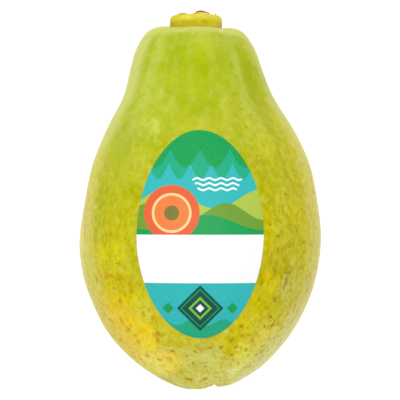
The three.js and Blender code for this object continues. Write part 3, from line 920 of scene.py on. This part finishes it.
crust = dry_crust()
crust.data.materials.append(crust_finish())


# ---- Sticker ------------------------------------------------------------------------------------

LABEL_SIDES = 192
LABEL_THICKNESS = 0.12

# The printed pattern, in millimetres across and up from the label's middle.
TURQUOISE = srgb(45, 186, 187)
JADE = srgb(22, 172, 130)
WHITE = srgb(255, 255, 255)
LEAF_GREEN = srgb(3, 160, 78)
BAND_TOP = -0.13
BAND_FOOT = -17.1

# Hills, each with its wave's pitch, height and shift, how high it stands, and its colour.
HILLS = [
    (34, 3.5, 0.6, 12.5, srgb(176, 200, 70)),
    (27, 3.0, 2.6, 8.0, srgb(112, 158, 44)),
    (40, 2.6, 4.4, 4.2, LEAF_GREEN),
]

# A ringed sun: its middle, and the radius and colour of each disc.
SUN = (-10.0, 7.5)
SUN_DISCS = [
    (9.8, srgb(233, 98, 48)), (7.0, srgb(250, 214, 150)),
    (6.1, srgb(240, 128, 58)), (2.6, srgb(122, 120, 40)),
]

# Fine white lines over the hills: how high each one lies, and where their middles are.
LINE_LEVELS = (19.4, 17.6, 15.8)
LINE_MIDDLE = 6.0

# A diamond at the foot: how far below the middle it lies, with a small one on each side of it.
DIAMOND_DROP = 26.0
SIDE_DIAMOND = 11.3


def lay_label():
    """An oval of coated paper, dropped straight onto the skin and pressed to it."""
    bpy.ops.object.select_all(action="DESELECT")
    bpy.ops.mesh.primitive_circle_add(vertices=LABEL_SIDES, radius=1)
    label = begin("oval_sticker")
    with editing(label):
        bpy.ops.mesh.fill_grid(span=LABEL_SIDES // 4)
    top = cad_box[1].z + 10 * MM
    place = Matrix.Translation(Vector((LABEL_CENTRE.x * MM, LABEL_CENTRE.y * MM, top)))
    size = Matrix.Diagonal((LABEL_HALF.x * MM, LABEL_HALF.y * MM, 1, 1))
    settle(label, place @ size)
    finish_with(label, "SHRINKWRAP", target=skin, wrap_method="PROJECT", use_project_z=True,
                use_negative_direction=True, use_positive_direction=False, offset=0.05 * MM)
    finish_with(label, "SMOOTH", factor=0.5, iterations=6)
    finish_with(label, "SUBSURF", levels=1, render_levels=1)
    finish_with(label, "SOLIDIFY", thickness=LABEL_THICKNESS * MM, offset=1)
    pick(label)
    bpy.ops.object.shade_smooth_by_angle(angle=math.radians(40))
    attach(label, "root")
    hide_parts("label")
    return label


class PaperFinish(Finish):
    """Printed paper, drawn in flat shapes with crisp edges."""

    def __init__(self):
        centre = (LABEL_CENTRE.x * MM, LABEL_CENTRE.y * MM, 0)
        super().__init__("printed_paper", Matrix.Translation(centre))
        self.flat = self.node("ShaderNodeCombineXYZ", {0: self.x, 1: self.y}).outputs[0]

    def inside(self, value, limit):
        """1 where value is under limit, with a crisp edge."""
        return self.ramp(self.calc("SUBTRACT", value, limit), 0.07, -0.07)

    def disc(self, centre, radius):
        away = self.vector("DISTANCE", self.flat, centre + (0,), output="Value")
        return self.inside(away, radius)

    def wave(self, pitch, height, shift=0.0):
        """A height that swings along the label."""
        turn = self.calc("MULTIPLY_ADD", self.x, math.tau / pitch, shift)
        return self.times(self.calc("SINE", turn), height)

    def hill(self, pitch, height, shift, level):
        """1 below a wavy line at that level."""
        return self.inside(self.plus(self.y, self.wave(pitch, height, shift)), level)

    def scallops(self, pitch, drop, foot, shift=0.0):
        """1 above a row of round lobes that hang down to foot."""
        turn = self.calc("MULTIPLY_ADD", self.x, math.pi / pitch, shift)
        lobe = self.calc("ABSOLUTE", self.calc("SINE", turn))
        return self.inside(self.calc("MULTIPLY_ADD", lobe, -drop, foot + drop), self.y)

    def foot(self):
        """The foot of the label: green under a wavy line, with diamonds over it."""
        mix, plus, inside = self.mix, self.plus, self.inside
        foot = mix(self.hill(11, 1.1, 0.0, -31.0), TURQUOISE, JADE)
        spread = self.calc("ABSOLUTE", self.x)
        rise = self.calc("ABSOLUTE", plus(self.y, DIAMOND_DROP))
        diamond = plus(spread, rise)
        foot = mix(inside(diamond, 8.2), foot, srgb(0, 76, 70))
        foot = mix(self.times(inside(diamond, 7.0), inside(6.4, diamond)), foot, LEAF_GREEN)
        foot = mix(inside(self.gap(diamond, 3.6), 0.55), foot, srgb(126, 196, 60))
        foot = mix(inside(diamond, 1.5), foot, WHITE)
        beside = plus(self.gap(spread, SIDE_DIAMOND), rise)
        return mix(inside(beside, 2.0), foot, LEAF_GREEN)


def sticker_finish():
    """A plain pattern: leaf scallops, hills and a sun over a white band, a diamond below."""
    f = PaperFinish()
    f.colour = f.mix(f.scallops(7.5, 5.5, 19.5, 1.5), TURQUOISE, JADE)
    f.coat(f.scallops(10.5, 6.5, 23.5), LEAF_GREEN)
    for pitch, height, shift, level, tint in HILLS:
        f.coat(f.hill(pitch, height, shift, level), tint)
    for radius, tint in SUN_DISCS:
        f.coat(f.disc(SUN, radius), tint)
    for level in LINE_LEVELS:
        line = f.inside(f.gap(f.plus(f.y, f.wave(4.2, 0.35)), level), 0.32)
        reach = f.inside(f.gap(f.x, LINE_MIDDLE), level * 0.5 - 1)
        f.coat(f.times(line, reach), WHITE)
    f.coat(f.inside(f.y, BAND_TOP), WHITE)
    foot = f.foot()
    f.coat(f.inside(f.y, BAND_FOOT), foot)
    fibres = f.noise(0.5, detail=2)
    f.coat(f.ramp(fibres, 0.2, 0.8, 0.0, 0.05), srgb(205, 225, 222))
    return f.paint(f.ramp(fibres, 0.2, 0.8, 0.36, 0.46), fibres, 0.006, Specular_IOR_Level=0.12)


label = lay_label()
label.data.materials.append(sticker_finish())


# ---- Floor, light and camera --------------------------------------------------------------------

FLOOR_GREY = (0.6, 0.6, 0.6, 1)
FLOOR_GLOW = 0.68
SKY_STRENGTH = 0.4
WHITE_LIGHT = (1, 1, 1, 1)
WAIST_HEIGHT = 0.045  # of the fruit's widest place over the floor
VIEW_Y = -0.74 * MM  # of the middle of the view
CAMERA_DISTANCE = 0.85  # above the fruit's widest place
FRAME_WIDTH = 0.14737  # of what the camera sees there


def pale_floor():
    bpy.ops.object.select_all(action="DESELECT")
    bpy.ops.mesh.primitive_plane_add(size=6, location=(0, 0, 0))
    floor = bpy.context.object
    floor.name = "floor"
    f = Finish("pale_floor")
    f.shader.inputs["Base Color"].default_value = FLOOR_GREY
    f.shader.inputs["Roughness"].default_value = 0.7
    f.shader.inputs["Emission Color"].default_value = WHITE_LIGHT
    f.shader.inputs["Emission Strength"].default_value = FLOOR_GLOW
    floor.data.materials.append(f.material)


def area_light(name, place, aim, size, power):
    light = bpy.data.lights.new(name, "AREA")
    light.shape = "SQUARE"
    light.size = size
    light.energy = power
    lamp = bpy.data.objects.new(name, light)
    bpy.context.scene.collection.objects.link(lamp)
    lamp.location = place
    lamp.rotation_euler = (Vector(aim) - Vector(place)).to_track_quat("-Z", "Y").to_euler()


def studio():
    world = bpy.data.worlds.new("studio")
    bpy.context.scene.world = world
    world.use_nodes = True
    background = world.node_tree.nodes["Background"]
    background.inputs["Color"].default_value = WHITE_LIGHT
    background.inputs["Strength"].default_value = SKY_STRENGTH
    area_light("overhead_softbox", place=(-0.1, 0.25, 1.3), aim=(0, 0, 0.05), size=1.0, power=13)
    bpy.context.scene.view_settings.view_transform = "Standard"


def overhead_camera():
    camera = bpy.data.objects.new("camera", bpy.data.cameras.new("camera"))
    bpy.context.scene.collection.objects.link(camera)
    camera.location = (0, VIEW_Y, WAIST_HEIGHT + CAMERA_DISTANCE)
    camera.data.angle = 2 * math.atan(FRAME_WIDTH / 2 / CAMERA_DISTANCE)
    bpy.context.scene.camera = camera


pale_floor()
studio()
overhead_camera()
